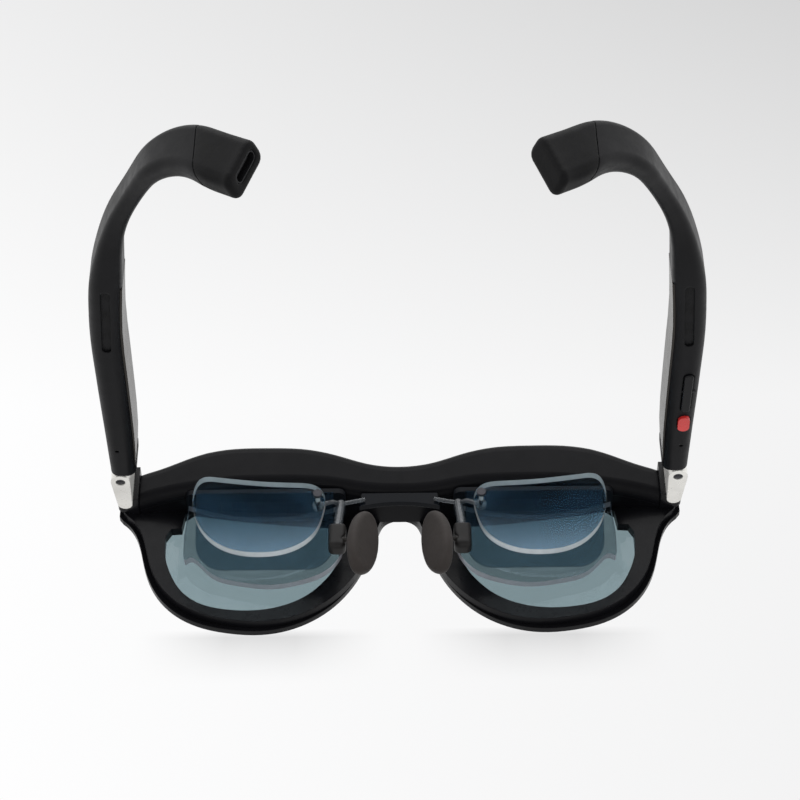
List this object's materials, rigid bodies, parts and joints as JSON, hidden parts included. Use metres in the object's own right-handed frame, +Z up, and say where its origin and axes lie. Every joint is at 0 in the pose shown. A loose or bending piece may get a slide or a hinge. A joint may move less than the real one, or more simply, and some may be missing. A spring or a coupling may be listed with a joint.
{
  "type": "smart glasses",
  "caption": "Display glasses with a deep brow over curved see-through optics, a clip-in corrective insert, swivelling nose pads and folding temples with controls.",
  "frame": {"origin": "on the ground at the middle of the bounding box, with the glasses open and standing on their lower rims and temple tips", "axes": "+Z up, -Y the way the wearer looks, +X towards the wearer's left"},
  "size_m": [0.149, 0.1706, 0.052],
  "materials": {
    "front_black": "gloss",
    "bezel_black": "satin",
    "brow_black": "satin",
    "board_green": "matte",
    "bridge_gloss": "gloss",
    "screw_steel": "polished",
    "shield_blue": "clear",
    "display_black": "gloss",
    "ribbon_amber": "satin",
    "optic_glass": "clear",
    "carrier_black": "matte",
    "combiner_glass": "part-silvered",
    "splitter_glass": "part-silvered",
    "insert_glass": "polished",
    "clear_plastic": "clear",
    "clip_black": "satin",
    "stud_grey": "satin",
    "pad_rubber": "soft matte",
    "hinge_black": "gloss",
    "hinge_silver": "satin",
    "pin_steel": "turned",
    "temple_black": "satin",
    "cover_black": "semi-gloss",
    "speaker_black": "matte",
    "grille_mesh": "mesh",
    "tip_rubber": "soft matte",
    "socket_steel": "drawn",
    "rocker_black": "semi-gloss",
    "button_red": "gloss"
  },
  "bodies": {
    "front": {"fascia": "front_black", "bezel": "bezel_black", "brow_housing": "brow_black", "brow_cover": "brow_black", "main_board": "board_green", "insert_bridge": "bridge_gloss", "insert_screws": "screw_steel", "shield_lens_left": "shield_blue", "shield_lens_right": "shield_blue", "display_left": "display_black", "display_right": "display_black", "display_flex_left": "ribbon_amber", "display_flex_right": "ribbon_amber", "field_lens_left": "optic_glass", "field_lens_right": "optic_glass", "optic_carrier_left": "carrier_black", "optic_carrier_right": "carrier_black", "combiner_left": "combiner_glass", "combiner_right": "combiner_glass", "beam_splitter_left": "splitter_glass", "beam_splitter_right": "splitter_glass", "insert_lens_left": "insert_glass", "insert_lens_right": "insert_glass", "pad_arm_left": "clear_plastic", "pad_arm_right": "clear_plastic", "pad_clip_left": "clip_black", "pad_clip_right": "clip_black", "hinge_block_left": "hinge_black", "hinge_block_right": "hinge_black", "hinge_arm_left": "hinge_silver", "hinge_arm_right": "hinge_silver", "hinge_pin_left": "pin_steel", "hinge_pin_right": "pin_steel"},
    "pad_left": {"pad_stud_left": "stud_grey", "nose_pad_left": "pad_rubber"},
    "temple_left": {"hinge_lug_left": "pin_steel", "temple_shell_left": "temple_black", "temple_cover_left": "cover_black", "temple_board_left": "board_green", "speaker_left": "speaker_black", "speaker_grille_left": "grille_mesh", "temple_tip_left": "tip_rubber", "data_socket": "socket_steel"},
    "pad_right": {"pad_stud_right": "stud_grey", "nose_pad_right": "pad_rubber"},
    "temple_right": {"hinge_lug_right": "pin_steel", "temple_shell_right": "temple_black", "temple_cover_right": "cover_black", "temple_board_right": "board_green", "speaker_right": "speaker_black", "speaker_grille_right": "grille_mesh", "temple_tip_right": "tip_rubber", "rocker_pin": "pin_steel", "switch_board": "board_green"},
    "rocker": {"rocker": "rocker_black"},
    "red_button": {"red_button": "button_red"}
  },
  "joints": [
    {"name": "temple_fold_left", "type": "hinge", "parent": "front", "child": "temple_left", "pos_m": [0.072, -0.0544, 0.037], "axis": [0, 0, 1], "range_deg": [0, 75]},
    {"name": "temple_fold_right", "type": "hinge", "parent": "front", "child": "temple_right", "pos_m": [-0.072, -0.0544, 0.037], "axis": [0, 0, 1], "range_deg": [-75, 0]},
    {"name": "pad_swivel_left", "type": "hinge", "parent": "front", "child": "pad_left", "pos_m": [0.0148, -0.0634, 0.0184], "axis": [-0.1247, -0.1663, 0.9781], "range_deg": [-8, 8]},
    {"name": "pad_swivel_right", "type": "hinge", "parent": "front", "child": "pad_right", "pos_m": [-0.0148, -0.0634, 0.0184], "axis": [0.1247, -0.1663, 0.9781], "range_deg": [-8, 8]},
    {"name": "rocker_tilt", "type": "hinge", "parent": "temple_right", "child": "rocker", "pos_m": [-0.07107, -0.01896, 0.03006], "axis": [0.9999, -0.0162, 0], "range_deg": [-2.5, 2.5], "stiffness_Nm_per_rad": 0.02},
    {"name": "button_press", "type": "slide", "parent": "temple_right", "child": "red_button", "axis": [0.0008, 0.0457, 0.999], "range_m": [0, 0.0005], "stiffness_N_per_m": 300}
  ]
}
